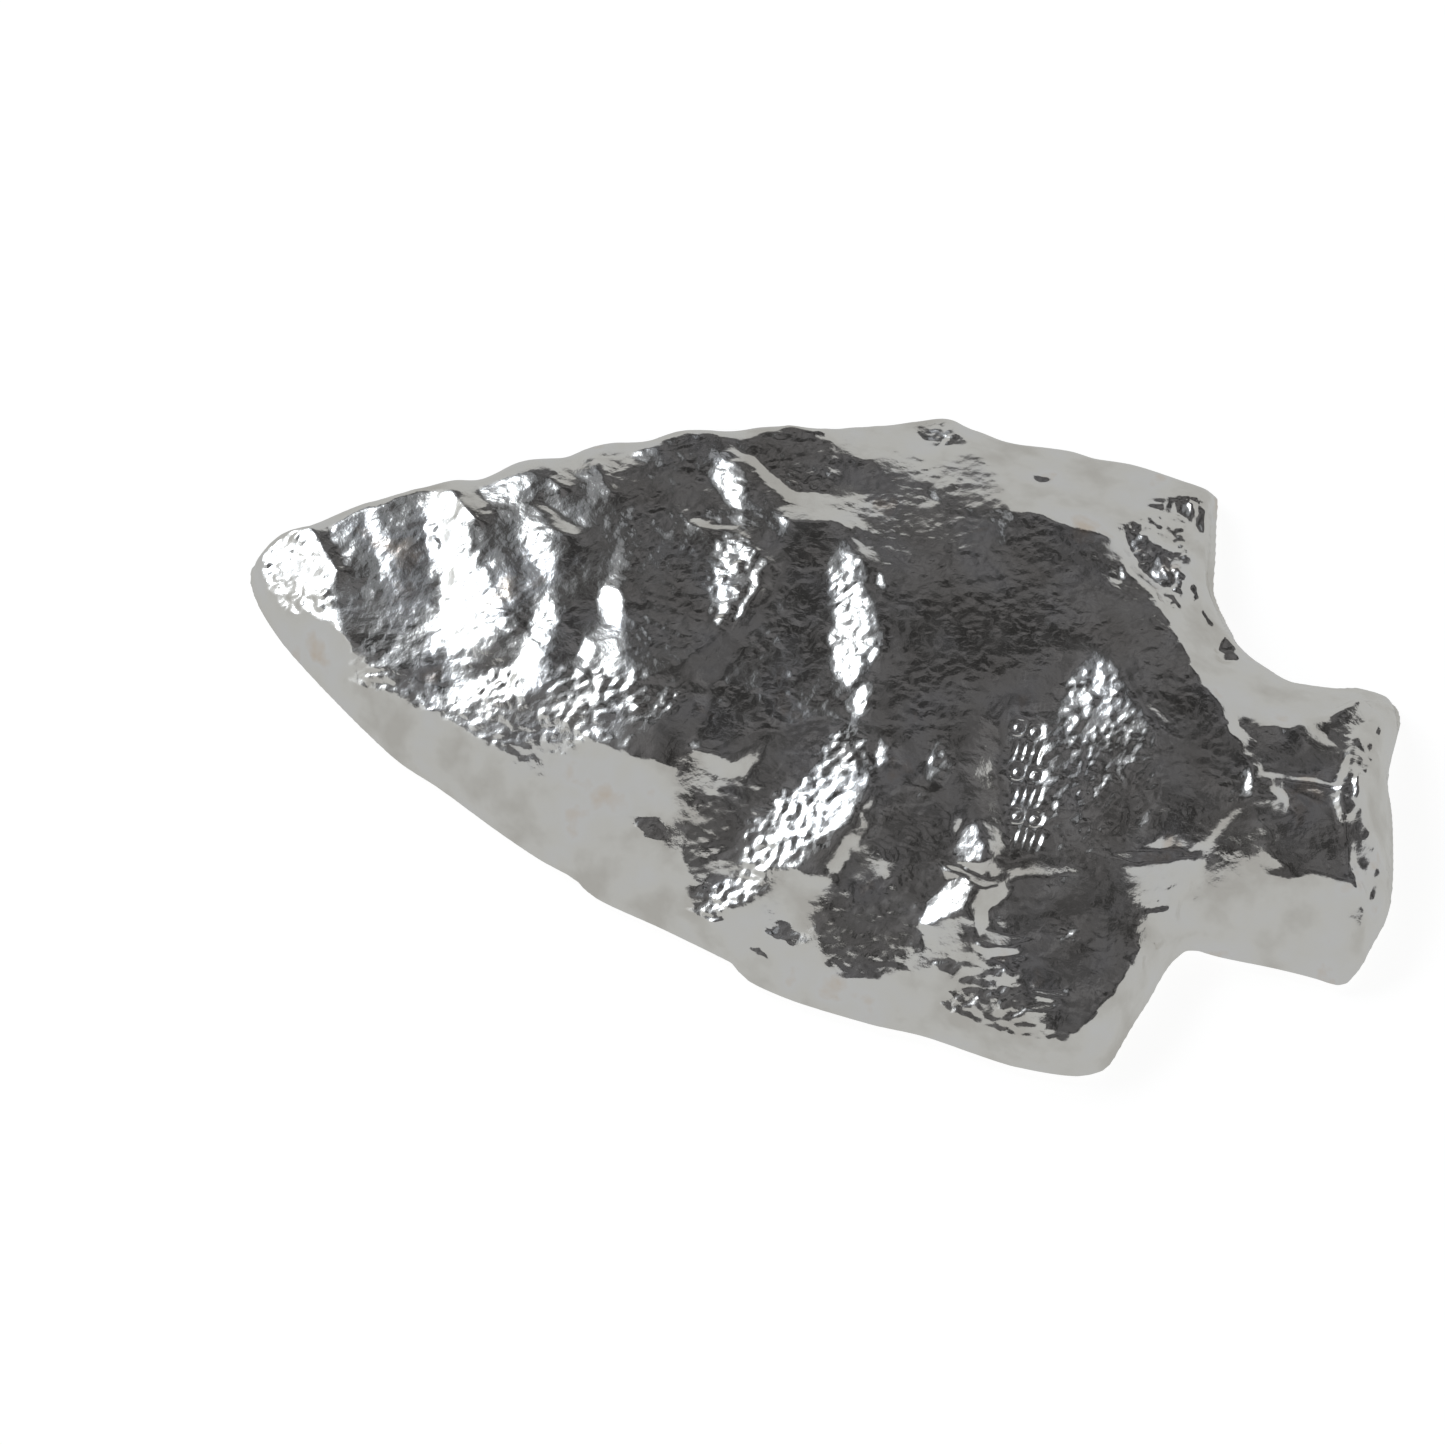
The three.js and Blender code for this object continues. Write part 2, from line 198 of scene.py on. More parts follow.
# Facets, later ones over earlier ones: tilt, softness of the outline in mm, roughness of the skin,
# outline in mm.
FACETS = [
    # lower flank, from the tip to the first run-out
    (NEAR, 0.08, 0.10, [(-22.4, -2.4), (-21.9, -2.6), (-20.2, -3.0), (-19.6, -3.4), (-18.9, -3.8),
        (-18.9, -4.7), (-18.4, -5.4), (-16.9, -5.4), (-15.5, -5.9), (-14.5, -5.9), (-13.6, -6.4),
        (-11.6, -7.0), (-11.1, -7.6), (-11.4, -8.0), (-10.4, -8.3), (-9.3, -10.6), (-12.6, -9.4),
        (-16.0, -7.3), (-19.5, -4.7), (-21.7, -3.4)]),
    (NEAR, 0.08, 0.10, [(-7.8, -6.1), (-6.2, -6.5), (-4.6, -6.5), (-4.1, -5.6), (-3.4, -5.6),
        (-1.8, -5.9), (-3.1, -7.1), (-3.4, -8.7), (-3.5, -9.4), (-2.9, -10.5), (-2.8, -11.5),
        (-1.6, -12.2), (-3.4, -11.8), (-6.4, -11.2), (-9.4, -10.5), (-11.5, -9.4), (-12.8, -8.1),
        (-11.2, -7.9), (-10.5, -6.4), (-9.6, -5.8)]),
    # hollows above that flank
    (SHADE, 0.15, 0.55, [(-19.6, -3.5), (-17.9, -3.8), (-15.8, -3.5), (-13.9, -5.0), (-11.4, -4.8),
        (-10.5, -4.0), (-9.3, -4.2), (-6.9, -3.7), (-6.1, -6.3), (-7.5, -6.1), (-8.6, -6.5),
        (-9.6, -7.1), (-9.8, -7.7), (-10.4, -8.3), (-11.4, -8.0), (-11.1, -7.6), (-11.6, -7.0),
        (-12.6, -6.9), (-13.6, -6.4), (-14.5, -5.9), (-15.5, -5.9), (-16.9, -5.4), (-18.4, -5.4),
        (-18.9, -4.7), (-18.9, -3.8)]),
    # tip: rough rim
    (RIM_SHADE, 0.08, 0.90, [(-23.9, -0.8), (-23.7, 0.1), (-23.3, 1.0), (-21.8, 1.0), (-21.4, 0.5),
        (-20.7, -0.4), (-20.2, -1.1), (-20.2, -1.9), (-19.8, -2.7), (-20.2, -2.9), (-21.4, -2.6),
        (-22.3, -2.5), (-23.2, -1.9)]),
    # first scar of the comb
    (LEVEL, 0.10, 0.20, [(-21.2, 0.9), (-20.8, 1.8), (-19.9, 2.7), (-19.0, 2.7), (-19.0, 3.4),
        (-17.9, 3.9), (-17.3, 3.0), (-17.4, 2.0), (-16.7, 0.5), (-16.1, 0.0), (-15.9, -1.6),
        (-15.8, -3.5), (-16.3, -4.3), (-17.8, -4.2), (-19.3, -3.5), (-19.8, -2.7), (-20.2, -1.9),
        (-20.0, -0.7)]),
    # third and fourth scars
    (LEVEL, 0.10, 0.20, [(-16.3, 3.6), (-15.5, 4.6), (-14.0, 4.6), (-13.2, 5.6), (-11.5, 6.2),
        (-10.0, 5.0), (-9.6, 2.8), (-9.6, 0.9), (-9.4, -1.9), (-9.9, -3.2), (-10.7, -3.2),
        (-12.1, -2.0), (-13.5, 0.1), (-14.9, 2.1)]),
    # fifth scar
    (LEVEL, 0.10, 0.40, [(-10.5, 7.3), (-8.9, 8.9), (-7.2, 9.2), (-6.3, 8.7), (-5.4, 8.1),
        (-4.2, 7.1), (-3.4, 5.1), (-3.8, 3.8), (-4.4, 0.7), (-4.8, -1.2), (-5.9, -2.6),
        (-7.8, -2.2), (-8.7, 0.3), (-9.5, 3.6)]),
    # long hollow and its run-out
    (LEVEL, 0.15, 0.40, [(-2.4, 5.4), (-1.3, 5.4), (0.2, 4.2), (-0.8, 3.1), (-0.6, 1.5),
        (0.0, -0.5), (1.0, -1.4), (1.2, -3.3), (-3.8, -4.6), (-4.2, -2.6), (-3.3, -0.5),
        (-3.0, 2.5)]),
    (SHADE, 0.08, 0.50, [(-1.8, -5.9), (-3.1, -7.1), (-3.4, -7.9), (-3.4, -8.7), (-3.5, -9.4),
        (-2.9, -10.5), (-2.8, -11.5), (-1.6, -12.1), (-0.3, -11.1), (0.6, -9.6), (1.5, -8.4),
        (2.6, -7.7), (3.1, -6.9), (3.2, -5.5), (2.8, -3.4), (1.5, -2.6), (0.1, -3.0),
        (-1.0, -4.1)]),
    # flank between the run-outs
    (NEAR, 0.08, 0.10, [(-1.6, -12.1), (-0.3, -11.1), (0.6, -9.7), (1.2, -9.3), (1.8, -9.6),
        (2.7, -9.3), (3.1, -8.2), (3.6, -7.3), (4.0, -7.7), (4.5, -8.0), (4.7, -8.8), (4.1, -8.9),
        (3.5, -9.6), (3.1, -10.3), (2.6, -11.1), (2.6, -11.7), (2.0, -12.0), (1.8, -12.6),
        (2.8, -13.0), (3.4, -13.2), (5.3, -13.4), (6.4, -14.8), (3.9, -14.9), (-0.2, -13.5)]),
    # second run-out
    (SHADE, 0.08, 0.60, [(3.1, -10.3), (3.6, -9.4), (4.7, -8.8), (4.6, -8.1), (3.9, -7.6),
        (3.5, -7.0), (3.5, -5.6), (4.8, -4.9), (6.3, -5.2), (7.3, -7.4), (7.0, -8.3), (6.4, -9.3),
        (6.6, -10.4), (7.1, -10.6), (6.8, -11.5), (6.5, -12.2), (5.8, -12.6), (4.4, -12.8),
        (3.6, -13.1), (2.9, -12.7), (3.0, -11.9), (2.7, -11.2)]),
    # flank beside the second run-out
    (NEAR, 0.08, 0.10, [(5.8, -12.6), (6.5, -12.2), (6.9, -11.5), (7.1, -10.6), (7.7, -10.1),
        (8.7, -9.7), (9.0, -10.2), (8.7, -10.9), (8.5, -11.6), (8.4, -12.4), (8.0, -12.9),
        (8.5, -13.6), (11.2, -14.7), (5.6, -14.4)]),
    # lower barb
    (SHADE, 0.08, 1.00, [(9.0, -10.7), (9.9, -11.4), (11.3, -11.1), (12.8, -11.7), (13.5, -13.8),
        (12.1, -13.8), (10.8, -13.8), (9.2, -13.5), (8.1, -13.0), (8.8, -12.0)]),
    (LEVEL, 0.10, 0.25, [(9.7, -7.3), (11.9, -6.6), (13.3, -5.5), (15.3, -5.0), (17.2, -3.1),
        (17.0, -3.6), (16.5, -5.3), (16.1, -6.4), (16.0, -7.4), (15.5, -9.0), (14.9, -10.7),
        (14.3, -12.0), (13.5, -13.6), (12.8, -13.0), (10.7, -10.9), (9.2, -9.6), (9.6, -8.2)]),
    # the level face behind the hollow
    (LEVEL, 0.60, 0.35, [(-2.2, 9.5), (-1.5, 11.8), (-0.2, 13.5), (1.3, 14.1), (2.6, 13.8),
        (4.3, 11.2), (5.2, 9.9), (6.2, 9.2), (7.8, 9.2), (9.7, 9.2), (10.4, 7.4), (9.9, 4.5),
        (8.3, 3.2), (7.2, 1.8), (6.2, -0.2), (6.5, -4.2), (5.2, -5.0), (2.6, -1.3), (0.7, 3.9),
        (-0.8, 6.0)]),
    (LEVEL, 0.08, 0.35, [(-2.2, 9.5), (-1.3, 11.2), (0.0, 12.6), (1.4, 13.9), (2.6, 12.9),
        (3.9, 10.8), (4.8, 9.5), (5.9, 8.9), (7.5, 8.8), (9.3, 8.6), (9.8, 7.4), (8.2, 6.4),
        (4.4, 5.9), (0.8, 4.9), (-1.0, 6.0)]),
    (LEVEL, 0.08, 0.30, [(8.6, 9.1), (9.6, 8.8), (10.1, 7.7), (11.3, 6.9), (12.7, 5.3),
        (14.0, 3.7), (15.8, 1.8), (17.4, -0.3), (16.5, -1.1), (14.6, 0.2), (13.1, 1.2),
        (11.1, 3.0), (9.7, 3.6), (8.3, 6.0)]),
    (LEVEL, 0.10, 0.30, [(12.9, -2.1), (14.1, -0.9), (16.3, -0.4), (17.5, -0.7), (17.5, -1.9),
        (17.0, -2.9), (16.6, -3.7), (15.3, -5.3), (13.6, -5.8), (12.9, -5.6)]),
    (LEVEL, 0.06, 0.35, [(-0.4, 9.4), (0.6, 11.1), (2.8, 11.5), (4.1, 10.5), (4.8, 9.3),
        (2.7, 7.8), (0.6, 6.9), (-0.4, 8.1)]),
    # upper right facet
    (FAR, 0.08, 0.10, [(2.4, 11.7), (3.3, 11.5), (3.9, 10.7), (4.4, 9.4), (5.5, 8.2), (5.6, 9.0),
        (6.8, 8.9), (7.6, 8.7), (9.0, 8.9), (9.7, 8.8), (9.4, 9.9), (10.3, 10.7), (11.2, 12.0),
        (10.4, 11.8), (11.2, 12.3), (12.1, 12.8), (12.6, 13.6), (10.5, 14.7), (7.5, 14.3),
        (3.4, 13.8), (1.9, 13.8)]),
    # upper barb
    (LEVEL, 0.06, 1.20, [(9.6, 9.8), (10.2, 11.1), (10.2, 11.7), (11.4, 12.6), (11.9, 12.7),
        (12.4, 13.7), (13.2, 11.0), (12.7, 10.0), (12.3, 9.5), (12.5, 7.5), (12.7, 6.2),
        (11.9, 6.7), (11.5, 7.8), (10.8, 7.8), (10.3, 8.4), (9.7, 8.8)]),
    # the groove behind the dome
    (AWAY, 0.04, 0.00, [(-21.8, 1.0), (-21.4, 1.5), (-20.9, 0.4), (-20.0, -0.5), (-20.3, -0.7),
        (-21.0, 0.1), (-21.5, 0.8)]),
    # islands along the comb
    (AWAY, 0.04, 0.00, [(-16.8, 4.2), (-16.2, 4.6), (-15.6, 4.0), (-15.1, 2.7), (-15.4, 2.6),
        (-16.0, 3.3)]),
    (AWAY, 0.04, 0.00, [(-13.4, 4.0), (-12.7, 4.1), (-12.1, 3.6), (-11.3, 3.2), (-11.4, 2.6),
        (-12.0, 2.9), (-12.7, 3.4)]),
    (AWAY, 0.04, 0.30, [(-13.4, 6.5), (-12.7, 6.7), (-12.3, 5.4), (-12.6, 4.8), (-13.0, 5.4)]),
    (AWAY, 0.04, 0.30, [(-11.9, 7.2), (-11.1, 7.9), (-10.5, 7.4), (-10.6, 6.3), (-10.3, 5.5),
        (-10.7, 5.2), (-11.3, 6.2)]),
    # crescent lip
    (AWAY, 0.04, 0.00, [(-7.2, 5.0), (-6.8, 5.1), (-6.2, 4.9), (-5.3, 5.0), (-5.4, 4.6),
        (-6.4, 4.4), (-6.9, 4.6)]),
    # the forked band
    (AWAY, 0.04, 0.00, [(-6.8, 8.9), (-6.4, 8.9), (-5.2, 8.4), (-4.3, 7.7), (-3.4, 7.5),
        (-1.9, 7.7), (-1.2, 6.1), (-2.1, 6.1), (-3.2, 5.6), (-3.7, 6.0), (-3.7, 6.7), (-4.2, 7.1),
        (-5.1, 8.1), (-5.8, 8.3), (-6.4, 8.5)]),
    (AWAY, 0.04, 0.00, [(-3.2, 10.8), (-2.7, 10.6), (-1.9, 9.4), (-1.3, 8.4), (-0.7, 7.7),
        (-0.6, 6.9), (-0.2, 6.4), (-0.8, 6.1), (0.3, 4.8), (0.2, 4.6), (-0.9, 5.8), (-1.4, 6.1),
        (-1.9, 7.7), (-2.5, 9.5), (-2.9, 10.1)]),
    (AWAY, 0.04, 0.10, [(-3.0, 10.8), (-1.6, 11.8), (-0.1, 12.4), (-0.4, 11.3), (-0.6, 10.2),
        (-1.3, 9.8), (-2.2, 9.7), (-2.6, 10.0)]),
    # the low scar in the fork
    (LEVEL, 0.04, 0.80, [(-6.1, 9.2), (-4.9, 10.3), (-3.2, 10.8), (-2.5, 9.5), (-1.9, 7.8),
        (-3.4, 7.6), (-4.4, 7.8), (-5.2, 8.4), (-6.4, 8.9)]),
    # ledges on the lower barb
    (AWAY, 0.04, 0.00, [(13.3, -5.3), (13.8, -5.0), (15.1, -4.4), (16.1, -4.1), (16.3, -4.4),
        (15.3, -5.0), (14.7, -5.3), (14.3, -5.7), (13.6, -5.6)]),
    (AWAY, 0.04, 0.00, [(7.0, -7.6), (7.7, -7.6), (8.6, -7.9), (9.4, -7.6), (8.9, -8.4),
        (8.1, -8.3), (7.3, -8.0)]),
    (AWAY, 0.04, 0.00, [(8.9, -9.8), (9.8, -9.8), (10.9, -9.5), (10.4, -10.3), (9.1, -10.7),
        (9.2, -10.2)]),
    (AWAY, 0.04, 0.00, [(9.9, -10.8), (10.6, -10.5), (11.1, -10.9), (10.7, -11.4), (10.0, -11.3)]),
    (AWAY, 0.03, 0.00, [(11.6, -11.7), (12.8, -11.2), (13.0, -11.5), (11.9, -11.9)]),
    (AWAY, 0.03, 0.00, [(11.5, -12.4), (12.3, -12.1), (12.9, -12.1), (12.3, -12.5), (11.6, -12.7)]),
    (AWAY, 0.03, 0.00, [(14.8, -7.1), (15.4, -6.5), (15.7, -6.5), (15.1, -7.0)]),
    # neck
    (AWAY, 0.04, 0.00, [(16.4, 1.7), (16.9, 1.3), (17.6, 0.2), (18.0, -0.2), (17.6, -0.1),
        (16.9, 0.6)]),
    # flanks of the stem
    (NEAR, 0.08, 0.10, [(17.4, -2.5), (18.0, -1.7), (19.1, -1.3), (19.1, -1.8), (18.7, -2.6),
        (19.1, -2.7), (19.0, -3.4), (19.5, -3.8), (19.2, -4.6), (18.5, -5.2), (16.4, -6.4),
        (16.6, -4.4), (16.8, -3.4)]),
    (NEAR, 0.08, 0.10, [(16.3, -6.4), (18.5, -5.1), (19.2, -4.6), (20.3, -4.4), (21.0, -3.9),
        (21.8, -3.8), (22.8, -3.9), (23.6, -4.5), (24.0, -4.7), (24.4, -4.8), (23.9, -7.0),
        (23.1, -7.2), (16.8, -7.3), (16.3, -7.9), (15.6, -7.9)]),
    (END, 0.06, 0.10, [(23.6, -2.4), (23.1, -1.1), (22.6, -1.1), (21.8, 0.3), (21.9, 2.8),
        (22.1, 4.9), (22.1, 5.7), (23.1, 4.9), (24.5, -1.7), (24.6, -3.2), (24.3, -6.7),
        (23.5, -5.3), (23.5, -3.9), (23.8, -3.0)]),
    # hollows of the stem
    (LEVEL, 0.08, 0.20, [(17.1, 1.6), (18.0, 2.4), (19.3, 1.5), (20.1, 2.0), (20.5, 2.6),
        (21.1, 3.4), (21.5, 2.0), (21.2, 0.6), (21.0, 0.1), (19.8, -0.2), (18.5, -0.5),
        (17.6, 0.3)]),
    (LEVEL, 0.10, 0.20, [(19.1, -1.2), (19.4, -0.6), (20.5, -0.6), (21.5, -1.0), (22.0, -1.9),
        (22.5, -3.1), (22.9, -3.5), (22.8, -3.9), (21.8, -3.8), (21.0, -3.8), (20.3, -4.4),
        (19.2, -4.6), (19.5, -3.8), (19.0, -3.4), (19.1, -2.7), (18.7, -2.6), (19.1, -1.8)]),
    (LEVEL, 0.06, 0.30, [(21.0, 4.7), (21.2, 6.4), (22.0, 5.9), (22.1, 5.3), (21.9, 2.6),
        (22.0, 0.8), (21.7, 0.9), (21.3, 2.4), (20.3, 2.5), (19.6, 2.6), (20.1, 3.8)]),
    (LEVEL, 0.05, 0.10, [(21.9, -0.1), (22.6, -1.2), (23.2, -1.8), (23.9, -3.2), (24.0, -4.0),
        (23.6, -4.5), (23.0, -4.1), (23.0, -2.6), (22.4, -1.7)]),
    # ridge of the stem
    (LEFT, 0.05, 0.33, [(18.8, -0.3), (19.7, -0.2), (20.9, -0.2), (21.7, -0.6), (22.4, -1.7),
        (23.0, -2.6), (23.0, -3.3), (22.5, -3.1), (21.8, -2.0), (21.3, -1.1), (20.6, -0.7),
        (19.7, -0.6), (19.0, -0.7)]),
    (LEFT, 0.05, 0.33, [(21.3, -0.2), (21.6, -0.2), (21.5, 0.9), (21.3, 2.6), (21.1, 2.6),
        (21.0, 1.4), (21.1, 0.6)]),
    (LEFT, 0.05, 0.13, [(21.4, 3.4), (21.9, 4.0), (21.8, 3.5), (21.6, 3.3)]),
    (LEFT, 0.05, 0.13, [(21.5, 4.4), (21.8, 5.0), (21.9, 4.4), (21.6, 4.3)]),
    # dome
    (LEFT, 0.08, 0.41, [(-22.6, -0.3), (-21.7, -0.1), (-20.8, -0.4), (-20.3, -1.1), (-20.3, -1.9),
        (-21.0, -1.6), (-21.8, -1.1), (-22.4, -0.8)]),
    # streak in the first scar
    (FAINT, 0.15, 0.30, [(-20.1, 2.6), (-19.3, 2.1), (-18.5, 0.9), (-17.8, -0.8), (-18.3, -0.9),
        (-19.1, 0.6), (-19.9, 1.8)]),
    # head of the second scar, and its right wall
    (LEFT, 0.06, 0.29, [(-17.5, 3.5), (-17.0, 4.0), (-16.6, 3.6), (-16.6, 2.8), (-16.8, 2.4),
        (-17.1, 2.5), (-17.5, 2.9)]),
    (LEFT, 0.06, 0.86, [(-17.3, 2.2), (-16.7, 2.3), (-16.5, 1.1), (-16.9, 1.2)]),
    (LEFT, 0.10, 0.66, [(-16.2, 2.8), (-15.7, 2.2), (-14.8, 0.8), (-13.7, -0.5), (-12.5, -1.9),
        (-12.8, -2.1), (-13.6, -2.0), (-14.1, -2.5), (-14.6, -2.5), (-15.0, -1.9), (-15.2, -0.8),
        (-15.1, -0.2), (-15.7, 0.7), (-16.1, 1.7)]),
    (SOFT, 0.15, 0.62, [(-15.7, -2.4), (-15.6, -0.9), (-15.2, -1.5), (-15.1, -2.9), (-15.4, -3.7),
        (-15.7, -3.4)]),
    # soft patches in the third scar
    (SOFT, 0.20, 0.54, [(-13.9, 2.6), (-13.0, 3.2), (-12.0, 2.4), (-11.6, 1.3), (-11.9, 0.5),
        (-12.8, 1.0), (-13.5, 1.8)]),
    (LEFT, 0.20, 0.62, [(-12.1, -0.8), (-11.6, -0.4), (-11.0, -1.0), (-10.9, -2.2), (-11.1, -2.7),
        (-11.6, -2.6), (-12.0, -1.8)]),
    # head of the fourth scar
    (LEFT, 0.06, 0.29, [(-9.7, 0.6), (-9.3, 0.8), (-8.7, 0.3), (-8.5, -0.4), (-8.6, -1.2),
        (-9.1, -1.0), (-9.5, -0.1)]),
    (LEFT, 0.06, 0.46, [(-9.7, -2.2), (-9.3, -1.8), (-9.0, -2.5), (-9.3, -3.0), (-9.7, -2.7)]),
    # head of the fifth scar
    (LEFT, 0.10, 0.41, [(-7.1, 7.5), (-6.8, 8.0), (-6.1, 7.8), (-5.6, 7.0), (-5.4, 5.9),
        (-5.8, 5.9), (-6.7, 6.6)]),
    # right wall of the fifth scar
    (SOFT, 0.10, 1.02, [(-5.8, 4.4), (-5.2, 4.5), (-4.6, 4.2), (-4.1, 3.8), (-4.1, 2.5),
        (-4.3, 1.5), (-4.3, 0.2), (-4.9, 0.1), (-5.4, 1.5), (-5.7, 3.3)]),
    (LEFT, 0.04, 0.21, [(-4.0, 3.2), (-3.6, 3.5), (-3.6, 2.2), (-3.9, 0.7), (-4.2, 0.3),
        (-4.1, 1.6)]),
    # below the comb
    (LEFT, 0.20, 1.10, [(-13.7, -4.2), (-13.1, -3.9), (-12.4, -3.7), (-11.6, -4.1), (-11.8, -4.6),
        (-12.8, -5.0), (-13.4, -4.9)]),
    (FAINT, 0.30, 0.90, [(-10.2, -3.6), (-9.2, -3.1), (-7.9, -3.3), (-6.5, -3.6), (-5.4, -2.9),
        (-4.8, -2.8), (-4.8, -3.6), (-5.5, -4.6), (-6.5, -5.0), (-8.0, -4.9), (-9.8, -4.9)]),
    # long hollow
    (LEFT, 0.15, 0.62, [(-1.4, 4.3), (-0.8, 5.1), (0.4, 4.3), (0.7, 3.2), (1.1, 2.2), (1.9, 1.2),
        (2.1, 0.2), (1.6, -0.2), (1.0, -1.3), (0.2, -0.5), (-0.3, 0.7), (0.1, 1.6), (-0.6, 2.7),
        (-1.1, 3.4)]),
    (LEFT, 0.10, 0.78, [(1.1, -1.4), (1.8, -0.9), (2.3, -1.8), (1.9, -2.6), (1.4, -2.1)]),
    (LEFT, 0.04, 0.21, [(0.8, 4.1), (1.2, 4.2), (1.2, 3.5), (0.9, 3.6)]),
    # run-out
    (LEFT, 0.10, 0.29, [(1.3, -5.3), (2.1, -4.8), (2.8, -5.4), (3.1, -6.5), (2.8, -7.2),
        (2.2, -7.7), (1.7, -6.7)]),
    (LEFT, 0.25, 1.02, [(-1.4, -7.7), (-0.4, -6.2), (0.9, -5.5), (1.5, -5.4), (2.2, -7.5),
        (1.6, -8.2), (0.8, -9.1), (0.1, -10.1), (-0.8, -9.5), (-1.3, -8.6)]),
    (SOFT, 0.20, 1.18, [(-2.6, -10.5), (-0.9, -9.8), (0.1, -10.2), (-0.3, -11.0), (-1.3, -11.7),
        (-1.8, -11.8), (-2.5, -11.3)]),
    (SOFT, 0.15, 0.86, [(0.6, -3.4), (1.8, -3.5), (2.4, -4.8), (1.5, -5.3), (0.8, -4.6)]),
    # behind the run-out
    (LEFT, 0.05, 0.29, [(2.8, -3.4), (3.1, -3.1), (3.7, -4.0), (3.5, -4.4), (3.1, -4.3)]),
    (SOFT, 0.15, 0.70, [(4.7, -3.9), (5.3, -2.9), (6.0, -3.2), (6.1, -4.0), (5.2, -4.6)]),
    (LEFT, 0.05, 0.25, [(7.0, -6.9), (7.0, -6.3), (7.6, -5.7), (8.2, -6.5), (8.2, -7.3),
        (7.6, -7.5)]),
    (LEFT, 0.05, 0.29, [(6.5, -9.9), (6.9, -8.6), (7.5, -8.2), (8.1, -8.7), (8.1, -9.4),
        (7.4, -10.0), (7.0, -10.4)]),
    # the punched ground
    (SOFT, 0.15, 0.54, [(7.3, -0.3), (9.3, -0.2), (10.0, -3.4), (10.6, -6.1), (9.3, -6.6),
        (8.2, -3.8)]),
    # broad face behind the punches
    (LEFT, 0.25, 0.70, [(9.5, 1.5), (10.2, 2.5), (10.9, 2.9), (11.6, 1.8), (12.5, 1.2),
        (13.5, 0.1), (14.1, -1.2), (14.9, -2.9), (13.8, -3.6), (12.7, -4.4), (11.1, -3.7),
        (9.6, -1.9), (9.4, -0.6)]),
    (LEFT, 0.12, 0.70, [(9.2, -1.4), (12.7, -0.8), (14.5, -2.0), (14.1, -3.2), (13.3, -3.6),
        (13.0, -5.8), (11.9, -6.6), (10.8, -6.1), (9.9, -4.0)]),
    (LEFT, 0.05, 0.21, [(13.3, -3.7), (14.2, -3.5), (14.5, -4.2), (14.1, -4.9), (13.5, -4.6)]),
    # small facets on the lower barb
    (LEFT, 0.05, 0.29, [(9.1, -8.8), (9.6, -8.9), (9.7, -9.4), (9.2, -9.3)]),
    (SOFT, 0.15, 0.86, [(11.9, -8.9), (12.7, -8.5), (13.0, -9.2), (12.2, -9.5)]),
    (LEFT, 0.04, 0.70, [(10.3, -11.9), (10.6, -11.8), (10.8, -12.4), (10.5, -12.4)]),
    # small facets on the upper barb
    (LEFT, 0.05, 0.70, [(9.8, 9.3), (10.1, 9.7), (10.7, 9.4), (10.4, 8.6), (10.0, 8.6)]),
    (LEFT, 0.05, 0.37, [(10.7, 8.5), (11.2, 9.2), (11.6, 8.7), (11.7, 7.8), (11.3, 7.5),
        (10.8, 8.0)]),
    (LEFT, 0.04, 0.46, [(11.4, 10.5), (11.7, 10.5), (12.0, 9.0), (12.2, 7.5), (11.9, 7.6),
        (11.6, 9.4)]),
    (LEFT, 0.04, 0.21, [(11.3, 11.8), (11.7, 12.3), (11.9, 11.7), (11.5, 11.4)]),
    (LEFT, 0.04, 0.78, [(11.9, 11.5), (12.6, 12.1), (12.8, 11.4), (12.3, 11.0)]),
    (LEFT, 0.03, 0.13, [(9.7, 7.4), (10.1, 7.7), (10.1, 7.2), (9.8, 6.9)]),
    # upper edge
    (LEFT, 0.04, 1.02, [(0.4, 12.2), (1.4, 13.4), (2.0, 12.0), (0.9, 11.5)]),
    (LEFT, 0.03, 0.21, [(1.4, 8.9), (1.9, 9.2), (2.0, 8.6), (1.6, 8.5)]),
    # neck
    (LEFT, 0.04, 0.78, [(17.2, -0.4), (17.7, -0.5), (17.9, -1.3), (17.4, -1.1)]),
    # small pits in the flanks
    (LEVEL, 0.03, 0.40, [(14.4, 5.9), (14.7, 6.4), (15.2, 6.0), (15.3, 5.3), (14.8, 5.1)]),
    (LEVEL, 0.03, 0.40, [(13.6, 7.1), (14.1, 6.8), (14.1, 6.5), (13.6, 6.8)]),
    (LEVEL, 0.03, 0.40, [(12.6, 8.2), (12.9, 8.2), (13.1, 7.4), (13.0, 7.2)]),
    (LEVEL, 0.03, 0.40, [(5.2, 11.2), (5.8, 11.4), (5.8, 11.0), (5.4, 11.0)]),
    (SHADE, 0.03, 0.40, [(-5.5, -8.8), (-5.0, -8.3), (-4.4, -8.2), (-4.3, -8.6), (-4.6, -9.1),
        (-5.1, -9.1)]),
    (SHADE, 0.03, 0.40, [(0.8, -11.6), (1.3, -11.1), (1.9, -11.5), (1.6, -12.0), (1.0, -12.0)]),
    (SHADE, 0.03, 0.40, [(0.1, -12.3), (0.7, -12.2), (0.9, -12.6), (0.4, -12.6)]),
    (SHADE, 0.03, 0.40, [(7.7, -11.5), (8.5, -11.3), (8.4, -11.7), (7.9, -11.8)]),
    (SHADE, 0.03, 0.40, [(14.7, -12.5), (15.0, -12.1), (15.0, -12.5), (14.8, -12.7)]),
    (SHADE, 0.03, 0.40, [(-17.9, -3.7), (-17.6, -3.5), (-17.5, -3.9), (-17.8, -4.0)]),
]


